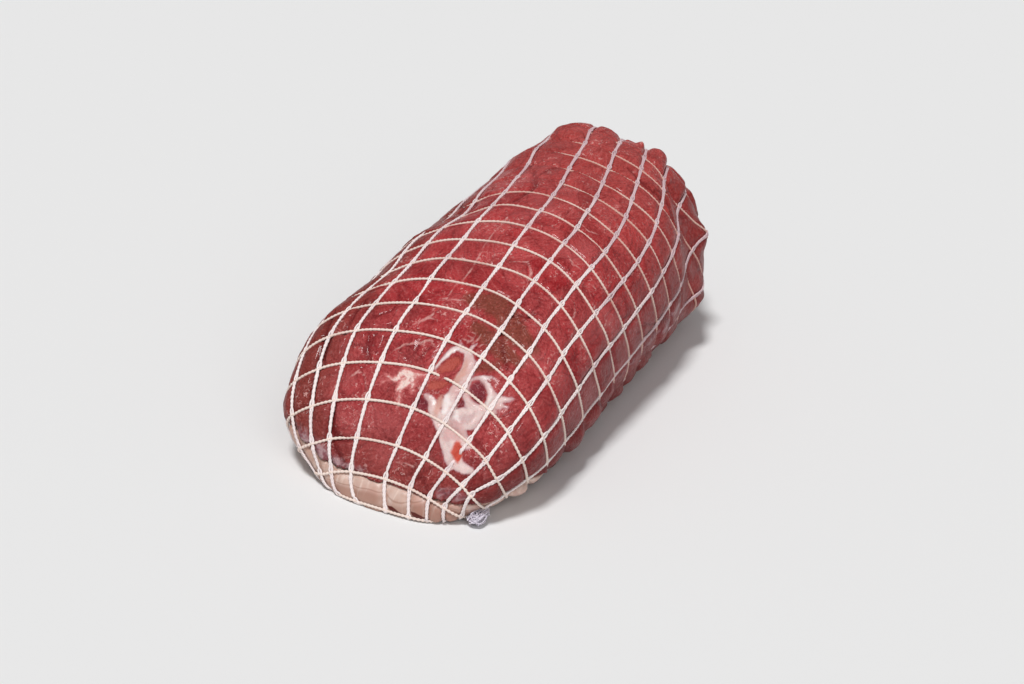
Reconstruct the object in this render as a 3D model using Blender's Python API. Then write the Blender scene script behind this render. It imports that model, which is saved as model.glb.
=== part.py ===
# Rolled joint of raw beef in an elastic netting, lying on its fat cap.
# The joint runs along +X from its rounded near end to its blunt far end, +Z is up and it rests on z = 0.
# Its skin is a loft: each section hangs between a point of the ridge and a point of the base line.
# The netting follows the same loft, its hoops at fixed sections and its threads at fixed angles.

import math
import random

import bmesh
import bpy
import numpy as np
from mathutils import Vector, noise

# Loft, in millimetres, from where the net is gathered under the near end to the middle of the far end
STATIONS = (0.0, 0.05, 0.12, 0.22, 0.40, 0.62, 0.80, 0.92, 1.0)
RIDGE_X = (14, -8, -1, 24, 77, 145, 190, 215, 228)
RIDGE_Z = (-8, -5, 14, 45, 69, 75, 75, 63, 48)
BASE_X = (14, 25, 36, 56, 108, 175, 219, 229, 228)
HALF_WIDTH = (0, 18, 33, 48, 49, 48, 42, 27, 0)
BASE_RISES_FROM = 0.80
UPPER_POWER = 2.25
LOWER_POWER = 2.0

# How the sections lean: centre line in y, turn of the section, slant and sideways bow of its hoops
LEAN_STATIONS = (0.0, 0.15, 0.45, 0.80, 1.0)
CENTRE_Y = (-14, -10, -9, -4, 11)
TWIST_DEG = (0, 11, 15, -3, 0)
HOOP_SLANT = (0.0, 0.0, -0.08, 0.25, 0.0)
HOOP_BOW = (7, -19, -18, 3, 0)
SLANT_MEAN = 0.65
SLANT_FADE = 0.35
SLANT_REACH = 15.0

# The loft's own origin is moved to the middle of the finished joint
MIDDLE_X = 111.0
MIDDLE_Y = -8.9

# Contact with the slab below: the underside is flat, and the sides roll into it
BASE_Z = 0.3
MEAT_Z = 1.5
ROLL_EDGE = 4.0

# Netting
HOOP_START = 0.105
HOOP_PITCH = 0.0345
HOOP_STRETCH = 0.0005
HOOP_NUMBERS = range(-2, 20)
FAR_GATHER = 0.975
THREADS_SHOWN_DEG = (-76, -60, -48, -32, -9, 9, 25, 40, 58, 80)
THREADS_BELOW = 9
THREAD_WIDTH = 2.3
HOOP_WIDTH = 1.5
NET_THICKNESS = 1.15
NET_OUTER = 0.3

# Meat swelling between the threads
MEAT_AT_THREAD = -1.3
CROWN_HEIGHT = 0.8
CROWN_SPREAD = 0.3
CROWN_MIN_MESH = 4.0
FLAT_BAND = 0.5
FLAT_ANGLE_DEG = 0.5
FAR_LOBES = 3.0
LOBES_FROM = 0.72

# Fat cap along the underside
FAT_HEIGHT = 5.0
FAT_FRONT_RISE = 8.0
FAT_FRONT_REACH = 22.0
FAT_FAR_RISE = 2.5
FAT_FAR_REACH = 20.0
FAT_WAVE = 0.7
FAT_GAP = 0.3
FAT_GRID = (14, 6)
CUT_MARGIN = 20.0

# Bunched end of the netting beside the near end
TAIL_CENTRE = (2.0, -50.3, 3.2)
TAIL_SIZE = (10.0, 6.0, 3.0)
TAIL_RUFFLE = 0.28
TAIL_FOLDS = 5

SEED = 7
MM = 0.001


def through(knots, values, at):
    """Smooth curve through the values at the knots."""
    knots = np.asarray(knots, float)
    values = np.asarray(values, float)
    slopes = np.gradient(values, knots)
    i = np.clip(np.searchsorted(knots, at, side="right") - 1, 0, len(knots) - 2)
    step = knots[i + 1] - knots[i]
    u = (at - knots[i]) / step
    start = (1 + 2 * u) * (1 - u) ** 2 * values[i] + u * (1 - u) ** 2 * step * slopes[i]
    end = u * u * (3 - 2 * u) * values[i + 1] + u * u * (u - 1) * step * slopes[i + 1]
    return start + end


def loft(t, angle):
    """Points of the free skin, before it settles; angle 0 is the ridge, positive towards -Y."""
    t, angle = np.broadcast_arrays(np.asarray(t, float), np.asarray(angle, float))
    ridge_x = through(STATIONS, RIDGE_X, t)
    ridge_z = through(STATIONS, RIDGE_Z, t)
    base_x = through(STATIONS, BASE_X, t)
    rise = np.clip((t - BASE_RISES_FROM) / (1 - BASE_RISES_FROM), 0, 1) ** 2
    base_z = RIDGE_Z[0] + (RIDGE_Z[-1] - RIDGE_Z[0]) * rise
    width = through(STATIONS, HALF_WIDTH, t)
    turned = angle + np.radians(through(LEAN_STATIONS, TWIST_DEG, t))
    up = np.cos(turned)
    out = np.sin(turned)
    power = np.where(up > 0, UPPER_POWER, LOWER_POWER)
    fuller = (np.abs(up) ** power + np.abs(out) ** power) ** (-1 / power)
    up = up * fuller
    out = out * fuller
    side = -width * out
    slant = through(LEAN_STATIONS, HOOP_SLANT, t) * (SLANT_MEAN - SLANT_FADE * np.tanh(side / SLANT_REACH))
    bow = through(LEAN_STATIONS, HOOP_BOW, t)
    x = (ridge_x + base_x) / 2 + (ridge_x - base_x) / 2 * up + slant * side + bow * out**2
    y = side + through(LEAN_STATIONS, CENTRE_Y, t)
    z = (ridge_z + base_z) / 2 + (ridge_z - base_z) / 2 * up
    return np.stack([x - MIDDLE_X, y - MIDDLE_Y, z], -1)


def settle(z, floor):
    """Height after resting: exactly flat below, rolling up over the edge, free above it."""
    over = z - floor
    rolled = (over + ROLL_EDGE) ** 2 / (4 * ROLL_EDGE)
    return floor + np.where(over < -ROLL_EDGE, 0, np.where(over > ROLL_EDGE, over, rolled))


def skin(t, angle, lift, floor):
    """Points of the settled skin, raised by lift along its normal."""
    t, angle = np.broadcast_arrays(np.asarray(t, float), np.asarray(angle, float))
    small = 1e-4
    inner = np.clip(t, 0.004, 0.996)
    along = loft(inner + small, angle) - loft(inner - small, angle)
    around = loft(inner, angle + small) - loft(inner, angle - small)
    normal = np.cross(around, along)
    normal /= np.linalg.norm(normal, axis=-1, keepdims=True)
    points = loft(t, angle) + normal * np.asarray(lift, float)[..., None]
    points[..., 2] = settle(points[..., 2], floor)
    return points


def hoop_stations():
    stations = []
    for number in HOOP_NUMBERS:
        stations.append(HOOP_START + HOOP_PITCH * number + HOOP_STRETCH * number**2)
    return np.array(stations + [FAR_GATHER])


def thread_angles():
    shown = np.radians(THREADS_SHOWN_DEG)
    below = shown[-1] + (shown[0] + 2 * math.pi - shown[-1]) * np.arange(1, THREADS_BELOW + 1) / (
        THREADS_BELOW + 1
    )
    return np.concatenate([shown, below])


def material(name, colour, roughness):
    made = bpy.data.materials.new(name)
    made.use_nodes = True
    shader = made.node_tree.nodes["Principled BSDF"]
    shader.inputs["Base Color"].default_value = (*colour, 1)
    shader.inputs["Roughness"].default_value = roughness
    shader.inputs["Metallic"].default_value = 0
    made.diffuse_color = (*colour, 1)
    return made


def add_object(name, bm, collection, look=None):
    mesh = bpy.data.meshes.new(name)
    bm.to_mesh(mesh)
    bm.free()
    made = bpy.data.objects.new(name, mesh)
    collection.objects.link(made)
    if look:
        mesh.materials.append(look)
        mesh.shade_smooth()
        mesh.set_sharp_from_angle(angle=math.radians(50))
    return made


def surface(points, faces):
    """Bmesh of the given points, in millimetres, and faces."""
    bm = bmesh.new()
    verts = [bm.verts.new(Vector(point) * MM) for point in points]
    for face in faces:
        bm.faces.new([verts[i] for i in face])
    bmesh.ops.triangulate(bm, faces=bm.faces)
    return bm


def net_grid(stations, angles):
    """Sections and angles of both edges of every hoop and every thread."""
    small = 1e-4
    t = np.repeat(stations, 2)[:, None]
    angle = np.repeat(angles, 2)[None, :]
    row_side = np.tile([-1.0, 1.0], len(stations))[:, None]
    column_side = np.tile([-1.0, 1.0], len(angles))[None, :]
    along = np.linalg.norm(loft(t + small, angle) - loft(t - small, angle), axis=-1) / (2 * small)
    around = np.linalg.norm(loft(t, angle + small) - loft(t, angle - small), axis=-1) / (2 * small)
    return t + row_side * HOOP_WIDTH / 2 / along, angle + column_side * THREAD_WIDTH / 2 / around


def skin_points(t, angle, lift, floor):
    """All points of a skin, row by row, and then the middles of the near and the far gather."""
    rings = skin(t, angle, np.full(t.shape, lift), floor).reshape(-1, 3)
    middles = skin(np.array([0.0, 1.0]), 0.0, np.full(2, lift), floor)
    return [tuple(point) for point in np.concatenate([rings, middles])]


def pole_faces(rows, columns):
    """Fans that close both ends of a skin."""
    faces = []
    near = rows * columns
    last = (rows - 1) * columns
    for j in range(columns):
        k = (j + 1) % columns
        faces.append([k, j, near])
        faces.append([last + j, last + k, near + 1])
    return faces


def grid_quad(i, j, columns):
    k = (j + 1) % columns
    return [i * columns + j, i * columns + k, (i + 1) * columns + k, (i + 1) * columns + j]


def meat_body(stations, angles):
    """Whole meat: level under the threads, with a raised crown in every large enough mesh of the net."""
    t, angle = net_grid(stations, angles)
    rows, columns = t.shape
    points = skin_points(t, angle, MEAT_AT_THREAD, MEAT_Z)
    faces = pole_faces(rows, columns)
    rng = random.Random(SEED)
    for i in range(rows - 1):
        for j in range(columns):
            quad = grid_quad(i, j, columns)
            corners = np.array([points[corner] for corner in quad])
            across = corners[1] - corners[0]
            along = corners[3] - corners[0]
            longer = max(np.linalg.norm(across), np.linalg.norm(along))
            narrow = np.linalg.norm(np.cross(across, along)) / longer
            is_mesh = i % 2 and j % 2
            if not is_mesh or narrow < CROWN_MIN_MESH or corners[:, 2].max() < MEAT_Z + FLAT_BAND:
                faces.append(quad)
                continue
            far = max(0.0, (t[i, j] - LOBES_FROM) / (1 - LOBES_FROM))
            crown = CROWN_HEIGHT + rng.uniform(-CROWN_SPREAD, CROWN_SPREAD) + FAR_LOBES * far * rng.random()
            turn = (angle[i, (j + 1) % columns] - angle[i, j]) % (2 * math.pi)
            points.append(tuple(skin((t[i, j] + t[i + 1, j]) / 2, angle[i, j] + turn / 2, crown, MEAT_Z)))
            for side in range(4):
                faces.append([quad[side], quad[(side + 1) % 4], len(points) - 1])
    bm = surface(points, faces)
    bmesh.ops.dissolve_limit(bm, angle_limit=math.radians(FLAT_ANGLE_DEG), verts=bm.verts, edges=bm.edges)
    bmesh.ops.triangulate(bm, faces=bm.faces)
    return bm


def fat_line(x, y):
    """Height of the seam between the meat and the fat cap."""
    front = FAT_FRONT_RISE * math.exp(-(((x + MIDDLE_X) / FAT_FRONT_REACH) ** 2))
    far = FAT_FAR_RISE * math.exp(-(((x - MIDDLE_X) / FAT_FAR_REACH) ** 2))
    return FAT_HEIGHT + front + far + FAT_WAVE * math.sin(x / 9) * math.cos(y / 11 + x / 23)


def seam_block(name, shift, collection):
    """Closed block below the seam, moved up or down by half the gap."""
    bm = bmesh.new()
    bmesh.ops.create_grid(bm, x_segments=FAT_GRID[0], y_segments=FAT_GRID[1], size=1)
    for vert in bm.verts:
        x = vert.co.x * (MIDDLE_X + CUT_MARGIN)
        y = vert.co.y * (max(HALF_WIDTH) + CUT_MARGIN)
        vert.co = Vector((x, y, fat_line(x, y) + shift)) * MM
    made = bmesh.ops.extrude_face_region(bm, geom=bm.faces[:])
    for item in made["geom"]:
        if isinstance(item, bmesh.types.BMVert):
            item.co.z = -CUT_MARGIN * MM
    bmesh.ops.recalc_face_normals(bm, faces=bm.faces)
    bmesh.ops.triangulate(bm, faces=bm.faces)
    block = add_object(name, bm, collection)
    block.display_type = "WIRE"
    block.hide_render = True
    return block


def cut(target, cutter, operation):
    modifier = target.modifiers.new(operation.title(), "BOOLEAN")
    modifier.operation = operation
    modifier.object = cutter
    modifier.solver = "EXACT"


def net_body(stations, angles):
    """Net of flat threads: a pad at each crossing, a strip between crossings, and the meshes left open."""
    t, angle = net_grid(stations, angles)
    rows, columns = t.shape
    inner = NET_OUTER - NET_THICKNESS
    points = skin_points(t, angle, NET_OUTER, BASE_Z - NET_OUTER)
    count = len(points)
    points += skin_points(t, angle, inner, BASE_Z - inner)
    strips = pole_faces(rows, columns)
    for i in range(rows - 1):
        for j in range(columns):
            if not (i % 2 and j % 2):
                strips.append(grid_quad(i, j, columns))
    faces = strips + [[corner + count for corner in reversed(strip)] for strip in strips]
    edges = set()
    for strip in strips:
        edges.update(zip(strip, strip[1:] + strip[:1]))
    for start, end in sorted(edges):
        if (end, start) not in edges:
            faces.append([end, start, start + count, end + count])
    return surface(points, faces)


def net_tail():
    """Crumpled tuft of spare netting, folded round an upright axis."""
    bm = bmesh.new()
    bmesh.ops.create_uvsphere(bm, u_segments=14, v_segments=8, radius=1)
    for vert in bm.verts:
        turn = math.atan2(vert.co.y, vert.co.x)
        level = math.hypot(vert.co.x, vert.co.y)
        fold = 1 + TAIL_RUFFLE * level * math.sin(TAIL_FOLDS * turn + 2 * vert.co.z)
        crumple = 1 + TAIL_RUFFLE * noise.noise(vert.co * 2.1)
        x = vert.co.x * TAIL_SIZE[0] / 2 * fold * crumple + TAIL_CENTRE[0] - MIDDLE_X
        y = vert.co.y * TAIL_SIZE[1] / 2 * fold * crumple + TAIL_CENTRE[1] - MIDDLE_Y
        z = vert.co.z * TAIL_SIZE[2] * crumple + TAIL_CENTRE[2]
        vert.co = Vector((x, y, z)) * MM
    return bm


for old in list(bpy.data.objects):
    bpy.data.objects.remove(old, do_unlink=True)

joint = bpy.data.collections.new("roast_beef_joint")
cutters = bpy.data.collections.new("cutters")
bpy.context.scene.collection.children.link(joint)
bpy.context.scene.collection.children.link(cutters)

raw_beef = material("raw_beef", (0.33, 0.045, 0.045), 0.35)
beef_fat = material("beef_fat", (0.66, 0.47, 0.37), 0.4)
net_cotton = material("net_cotton", (0.78, 0.70, 0.66), 0.8)

hoops = hoop_stations()
threads = thread_angles()

beef = add_object("beef", meat_body(hoops, threads), joint, raw_beef)
cut(beef, seam_block("above_seam", FAT_GAP / 2, cutters), "DIFFERENCE")

fat = add_object("fat_cap", meat_body(hoops, threads), joint, beef_fat)
cut(fat, seam_block("below_seam", -FAT_GAP / 2, cutters), "INTERSECT")

add_object("netting", net_body(hoops, threads), joint, net_cotton)
add_object("net_tail", net_tail(), joint, net_cotton)
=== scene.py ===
# Raw beef joint in an elastic netting: the looks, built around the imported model.
# Shapes are worked out in millimetres on the joint's own loft, and put into the meshes in metres.

import math

import bpy
import numpy as np
from mathutils import Matrix, Quaternion, Vector


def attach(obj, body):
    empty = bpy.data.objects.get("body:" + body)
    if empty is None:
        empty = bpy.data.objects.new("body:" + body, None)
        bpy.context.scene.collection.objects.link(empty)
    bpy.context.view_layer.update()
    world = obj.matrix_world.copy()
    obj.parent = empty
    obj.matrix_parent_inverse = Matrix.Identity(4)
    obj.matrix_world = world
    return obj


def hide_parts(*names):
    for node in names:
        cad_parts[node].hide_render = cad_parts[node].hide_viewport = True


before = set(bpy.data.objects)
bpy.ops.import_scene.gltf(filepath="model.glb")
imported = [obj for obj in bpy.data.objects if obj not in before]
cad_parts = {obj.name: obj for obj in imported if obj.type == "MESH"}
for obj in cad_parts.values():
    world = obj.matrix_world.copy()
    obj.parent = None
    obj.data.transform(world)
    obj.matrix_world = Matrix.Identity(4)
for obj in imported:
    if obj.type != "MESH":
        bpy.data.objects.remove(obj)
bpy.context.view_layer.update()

mm = 0.001
print("frame loaded:", ", ".join(sorted(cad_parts)))

# The loft: each section hangs between a point of the ridge and a point of the base line
form = {
    "stations": (0.0, 0.05, 0.12, 0.22, 0.40, 0.62, 0.80, 0.92, 1.0),
    "ridgeX": (14, -8, -1, 24, 77, 145, 190, 215, 228),
    "ridgeZ": (-8, -5, 14, 45, 69, 75, 75, 63, 48),
    "baseX": (14, 25, 36, 56, 108, 175, 219, 229, 228),
    "halfWidth": (0, 18, 33, 48, 49, 48, 42, 27, 0),
    "baseRisesFrom": 0.80,
    "upperPower": 2.25,
    "lowerPower": 2.0,
    "leanStations": (0.0, 0.15, 0.45, 0.80, 1.0),
    "centreY": (-14, -10, -9, -4, 11),
    "twistDeg": (0, 11, 15, -3, 0),
    "hoopSlant": (0.0, 0.0, -0.08, 0.25, 0.0),
    "hoopBow": (7, -19, -18, 3, 0),
    "slantMean": 0.65,
    "slantFade": 0.35,
    "slantReach": 15.0,
    "middleX": 111.0,
    "middleY": -8.9,
    "rollEdge": 4.0,
}

# The netting: threads run along the joint at fixed angles, hoops go round it at fixed sections
net = {
    "hoopStart": 0.105,
    "hoopPitch": 0.0345,
    "hoopStretch": 0.0005,
    "firstHoop": -2,  # hoops and threads are numbered; places between them are fractions
    "lastHoop": 20,
    "farGather": 0.975,
    "threadsShownDeg": (-76, -60, -48, -32, -9, 9, 25, 40, 58, 80),
    "threadsBelow": 9,
    "turnAt": -5,  # thread number under the joint where the drift below begins and ends
    "pastHoops": (0.1, 0.5),  # meshes past the last hoop over which the net's pattern fades out
    "floor": 0.75,  # mm over the slab of a cord's middle, and of its lowest points
    "clear": 0.02,
    # mm along the joint between which juice stains it more; least stain, what the far end and patches add, their size
    "stainAlong": (-95, 60),
    "stain": (0.12, 0.62, 0.35, 11.0),
    # How far the netting was dragged askew, in meshes: a row for each thread named, a value for each hoop
    "driftThreads": (-2, 1, 3, 5, 7, 8, 9, 12),
    "driftHoops": (-2, -1, 0, 1, 2, 4, 7, 10, 13, 16, 20),
    "hoopDrift": (
        (0,) * 11,
        (0, -0.05, -0.10, -0.09, -0.06, -0.02, -0.10, -0.30, -0.20, -0.05, 0),
        (0, 0.02, 0.04, 0.01, -0.04, -0.13, -0.11, -0.04, -0.08, 0, 0),
        (0, 0.03, 0.05, 0.02, -0.03, -0.10, 0.07, -0.14, -0.23, -0.12, 0),
        (0, 0.02, 0.04, 0.04, 0.03, 0.02, 0.04, -0.20, -0.12, -0.15, 0),
        (0, 0.01, 0.02, 0.02, 0.02, 0, 0.15, -0.10, -0.10, -0.10, 0),
        (0, 0, 0, 0, -0.01, -0.02, 0.25, 0, -0.08, -0.05, 0),
        (0,) * 11,
    ),
    "threadDrift": (
        (0,) * 11,
        (-0.10, -0.12, -0.13, -0.10, -0.05, 0.02, 0.05, 0.05, 0, 0, 0),
        (0.40, 0.24, -0.03, 0, 0.02, 0.05, 0.02, -0.05, 0, 0, 0),
        (1.30, 0.92, 0.15, 0.09, 0.08, 0.05, -0.05, 0.04, 0.03, 0.02, 0),
        (1.90, 1.38, 0.20, 0.06, 0.12, 0.08, -0.02, 0.12, 0.08, 0.05, 0),
        (1.95, 1.50, 0.50, -0.28, 0.12, 0.19, 0.11, 0.10, 0.04, 0.02, 0),
        (1.70, 1.40, 0.60, 0.10, 0.20, 0.30, 0.25, 0.08, 0, 0, 0),
        (0,) * 11,
    ),
}

# The seam between the meat and the fat cap under it
seam = {
    "height": 5.0,
    # Where the fat comes up higher: x, y, reach and rise in mm, the front one at any y
    "rises": (
        (-111.0, None, 22.0, 3.7),
        (111.0, None, 20.0, 2.5),
        (-108.0, 38.0, 14.0, 8.0),
        (-87.0, -47.0, 15.0, 6.5),
    ),
    "wave": 0.7,
    "waveLengths": (9, 11, 23),
    "gap": 0.3,
    "pull": 0.4,  # mm that both skins draw in beside the seam, and how far from it
    "pullReach": 1.6,
    "tuckReach": 9.0,
    "spineHalf": 60.0,
    "spineY": -2.0,
}


# Smooth curve through the values at the knots: cubic pieces that share their slopes
def through(knots, values, at):
    knots = np.asarray(knots, float)
    values = np.asarray(values, float)
    slopes = np.gradient(values, knots)
    i = np.clip(np.searchsorted(knots, at, side="right") - 1, 0, len(knots) - 2)
    step = knots[i + 1] - knots[i]
    u = (at - knots[i]) / step
    start = (1 + 2 * u) * (1 - u) ** 2 * values[i] + u * (1 - u) ** 2 * step * slopes[i]
    end = u * u * (3 - 2 * u) * values[i + 1] + u * u * (u - 1) * step * slopes[i + 1]
    return start + end


# Point of the loft: a rounded section between ridge and base, turned, slanted and bowed along the joint
def loft(t, angle):
    t, angle = np.broadcast_arrays(np.asarray(t, float), np.asarray(angle, float))
    ridgeX, ridgeZ, baseX, width = (
        through(form["stations"], form[name], t) for name in ("ridgeX", "ridgeZ", "baseX", "halfWidth")
    )
    rise = np.clip((t - form["baseRisesFrom"]) / (1 - form["baseRisesFrom"]), 0, 1) ** 2
    baseZ = form["ridgeZ"][0] + (form["ridgeZ"][-1] - form["ridgeZ"][0]) * rise
    turned = angle + np.radians(through(form["leanStations"], form["twistDeg"], t))
    up, out = np.cos(turned), np.sin(turned)
    power = np.where(up > 0, form["upperPower"], form["lowerPower"])
    fuller = (np.abs(up) ** power + np.abs(out) ** power) ** (-1 / power)
    up, out = up * fuller, out * fuller
    side = -width * out
    slant = through(form["leanStations"], form["hoopSlant"], t) * (
        form["slantMean"] - form["slantFade"] * np.tanh(side / form["slantReach"])
    )
    bow = through(form["leanStations"], form["hoopBow"], t)
    x = (ridgeX + baseX) / 2 + (ridgeX - baseX) / 2 * up + slant * side + bow * out**2
    y = side + through(form["leanStations"], form["centreY"], t)
    z = (ridgeZ + baseZ) / 2 + (ridgeZ - baseZ) / 2 * up
    return np.stack([x - form["middleX"], y - form["middleY"], z], -1)


# Share along the loft of a hoop: steps that grow slowly, straight between hoops, poles at both ends
def stationAt(hoop):
    number = np.arange(net["firstHoop"], net["lastHoop"])
    stations = net["hoopStart"] + net["hoopPitch"] * number + net["hoopStretch"] * number**2
    knots = np.concatenate([[net["firstHoop"] - 1], number, [net["lastHoop"], net["lastHoop"] + 1]])
    return np.interp(hoop, knots, np.concatenate([[0.0], stations, [net["farGather"], 1.0]]))


shownCount = len(net["threadsShownDeg"])
threadCount = shownCount + net["threadsBelow"]


# Angle of a thread round the joint: shown threads where they lie, those below spread evenly, straight between
def angleAt(thread):
    shown = np.radians(net["threadsShownDeg"])
    below = np.linspace(shown[-1], shown[0] + 2 * math.pi, net["threadsBelow"] + 2)[1:]
    angles = np.concatenate([shown, below])
    turns = np.floor(np.asarray(thread, float) / threadCount)
    place = np.asarray(thread, float) - turns * threadCount
    return np.interp(place, np.arange(threadCount + 1), angles) + turns * 2 * math.pi


# Place in the even net that a place in the real one has been dragged to, smooth both ways
def dragged(thread, hoop):
    thread, hoop = np.broadcast_arrays(np.asarray(thread, float), np.asarray(hoop, float))
    turns = np.floor((thread - net["turnAt"]) / threadCount) * threadCount
    place = np.clip(thread - turns, net["driftThreads"][0], net["driftThreads"][-1])
    row = np.clip(hoop, net["driftHoops"][0], net["driftHoops"][-1])
    moved = []
    for name in ("threadDrift", "hoopDrift"):
        lines = np.stack([through(net["driftHoops"], line, row) for line in net[name]])
        moved.append(acrossLines(lines, place))
    return thread + moved[0], hoop + moved[1]


# Smooth step from one drift line to the next by thread number
def acrossLines(lines, place):
    knots = np.asarray(net["driftThreads"], float)
    k = np.clip(np.searchsorted(knots, place, side="right") - 1, 0, len(knots) - 2)
    u = smooth(knots[k], knots[k + 1], place)
    low = np.take_along_axis(lines, k[None], 0)[0]
    high = np.take_along_axis(lines, k[None] + 1, 0)[0]
    return low * (1 - u) + high * u


# Point of the free skin at a place in the net, and its outward normal, from differences both ways
def skinFrame(thread, hoop):
    thread, hoop = dragged(thread, hoop)
    t, angle = stationAt(hoop), angleAt(thread)
    small = 1e-4
    inner = np.clip(t, 0.004, 0.996)
    along = loft(inner + small, angle) - loft(inner - small, angle)
    around = loft(inner, angle + small) - loft(inner, angle - small)
    return loft(t, angle), unit(np.cross(around, along))


# Height after resting: level below, rolling up over the edge, free above it
def settle(z, floor):
    over = z - floor
    edge = form["rollEdge"]
    rolled = (over + edge) ** 2 / (4 * edge)
    return floor + np.where(over < -edge, 0, np.where(over > edge, over, rolled))


# Height of the seam: a slow wave round a level, with a bell wherever the fat comes up higher
def seamHeight(points):
    x, y = points[..., 0], points[..., 1]
    along, across, skew = seam["waveLengths"]
    height = seam["height"] + seam["wave"] * np.sin(x / along) * np.cos(y / across + x / skew)
    for middleX, middleY, reach, rise in seam["rises"]:
        away = (x - middleX) ** 2 + (0 if middleY is None else (y - middleY) ** 2)
        height = height + rise * np.exp(-away / reach**2)
    return height


# Place pulled in towards the joint's spine by its depth past the seam, so that a hidden side closes inwards
def tuck(points, depth):
    reach = seam["tuckReach"]
    spineX = np.clip(points[..., 0], -seam["spineHalf"], seam["spineHalf"])
    spine = np.stack([spineX, np.full_like(spineX, seam["spineY"])], -1)
    away = points[..., :2] - spine
    points[..., :2] = spine + away * np.exp(-np.maximum(depth, 0) / reach)[..., None]
    return points


# Value noise from -1 to 1: random numbers on a lattice of the given size, blended smoothly between
def noise(points, size, seed):
    place = points / size
    base = np.floor(place).astype(np.int64)
    part = smooth(0, 1, place - base)
    total = np.zeros(points.shape[:-1])
    for corner in range(8):
        step = np.array([corner & 1, corner >> 1 & 1, corner >> 2])
        key = (base + step) @ np.array([73856093, 19349663, 83492791]) + seed * 7919
        key = (key ^ (key >> 13)) * 1274126177
        key ^= key >> 16
        total += ((key & 0xFFFF) / 32767.5 - 1) * np.prod(np.where(step, part, 1 - part), -1)
    return total


# Noise of several sizes, -1 to 1: each one half as large and half as strong as the one before
def fractal(points, size, seed, octaves=3):
    total = 0
    for octave in range(octaves):
        total = total + noise(points, size / 2**octave, seed + octave) / 2**octave
    return total / (2 - 2 ** (1 - octaves))


# Vectors brought to length one
def unit(vectors):
    return vectors / np.maximum(np.linalg.norm(vectors, axis=-1, keepdims=True), 1e-9)


# Bell: 1 at nothing, about a third at the reach
def bell(away, reach):
    return np.exp(-((away / reach) ** 2))


# Smooth step: 0 up to the first value, 1 from the second, a cubic between; the first may be the larger
def smooth(low, high, value):
    part = np.clip((value - low) / (high - low), 0, 1)
    return part * part * (3 - 2 * part)


lumps = {
    "broad": (28.0, 0.9),  # size and height in mm of the swellings that meat and net share
    "small": (12.0, 0.35),
    "farHoops": (14.5, 17.5),  # hoops between which the lobed far end begins
    "farLobe": (19.0, 1.7),
    "farPress": -0.8,  # how much deeper the net cuts in at the far end, and the share of it that the net sinks
    "farSunk": 0.9,
    "quietBelow": 10.0,  # nothing swells this close to the slab
    # Single bulges and dips, by thread number, hoop number, reach and height in mm
    "bulges": (
        (3.6, 16.3, 12, 3.4),
        (4.45, 16.8, 5, 1.3),
        (5.0, 16.8, 3, -0.8),
        (5.5, 16.9, 5, 0.3),
        (5.75, 16.8, 1.8, 2.0),
        (6.5, 16.9, 5, 2.6),
        (7.6, 16.0, 9, -4.0),
        (8.3, 15.2, 13, -5.0),
        (9.3, 14.2, 14, -2.6),
        (1.7, 10.4, 18, -3.4),
        (0.8, 7.0, 14, -1.5),
        (2.6, 13.8, 12, 1.8),
        (0.4, 4.5, 12, 1.2),
        (-0.6, 2.4, 14, 1.6),
        (10.2, 14.3, 8, 4.2),
        (9.3, 15.2, 6, 0.8),
        (9.0, 16.0, 5, 3.0),
    ),
    # Lobes that hang out below the lowest thread on the right: height, and where they begin and end
    "skirt": 1.5,
    "skirtThreads": (9.0, 9.35, 10.3, 11.2),
    "skirtHoops": (1.6, 3.0, 10.0, 12.5),
    "skirtRound": 0.55,  # share of the height that comes and goes from hoop to hoop
    "skirtChance": 0.7,
}


# Lobes of the base between the hoops, on the right, that the net leaves free
def skirtLift(thread, hoop):
    first, full, fading, last = lumps["skirtThreads"]
    near, nearFull, farFading, far = lumps["skirtHoops"]
    reach = smooth(first, full, thread) * smooth(last, fading, thread)
    reach = reach * smooth(near, nearFull, hoop) * smooth(far, farFading, hoop)
    part = hoop - np.floor(hoop)
    rounded = 1 - lumps["skirtRound"] + lumps["skirtRound"] * np.sin(math.pi * part)
    return lumps["skirt"] * reach * rounded * (1 + lumps["skirtChance"] * crownOf(thread, hoop))


# Share from 0 to 1 of the lobed far end
def farShare(hoop):
    return smooth(*lumps["farHoops"], hoop)


# Swelling of the whole joint under the net: broad and small lumps, larger ones at the far end
def swelling(points, hoop):
    broad = fractal(points, lumps["broad"][0], 3, 2) * lumps["broad"][1]
    small = noise(points, lumps["small"][0], 5) * lumps["small"][1]
    far = farShare(hoop) * noise(points, lumps["farLobe"][0], 11)
    total = broad + small + far * lumps["farLobe"][1]
    for thread, row, reach, height in lumps["bulges"]:
        middle, _ = skinFrame(np.array(float(thread)), np.array(float(row)))
        total = total + height * np.exp(-(((points - middle) ** 2).sum(-1)) / reach**2)
    return total * smooth(0, lumps["quietBelow"], points[..., 2])


# Object from points in mm and faces of equal sides: smooth, in metres, with a number at each point per value
def meshFrom(name, points, faces, values):
    mesh = bpy.data.meshes.new(name)
    faces = np.asarray(faces)
    sides = faces.shape[1]
    mesh.vertices.add(len(points))
    mesh.vertices.foreach_set("co", (np.asarray(points) * mm).astype(np.float32).ravel())
    mesh.loops.add(faces.size)
    mesh.loops.foreach_set("vertex_index", faces.astype(np.int32).ravel())
    mesh.polygons.add(len(faces))
    mesh.polygons.foreach_set("loop_start", np.arange(0, faces.size, sides, dtype=np.int32))
    mesh.polygons.foreach_set("use_smooth", np.ones(len(faces), bool))
    for key, value in values.items():
        mesh.attributes.new(key, "FLOAT", "POINT").data.foreach_set("value", value.astype(np.float32).ravel())
    mesh.update()
    mesh.validate()
    made = bpy.data.objects.new(name, mesh)
    bpy.context.scene.collection.objects.link(made)
    print(name, len(points), "points", len(faces), "faces")
    return made


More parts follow.
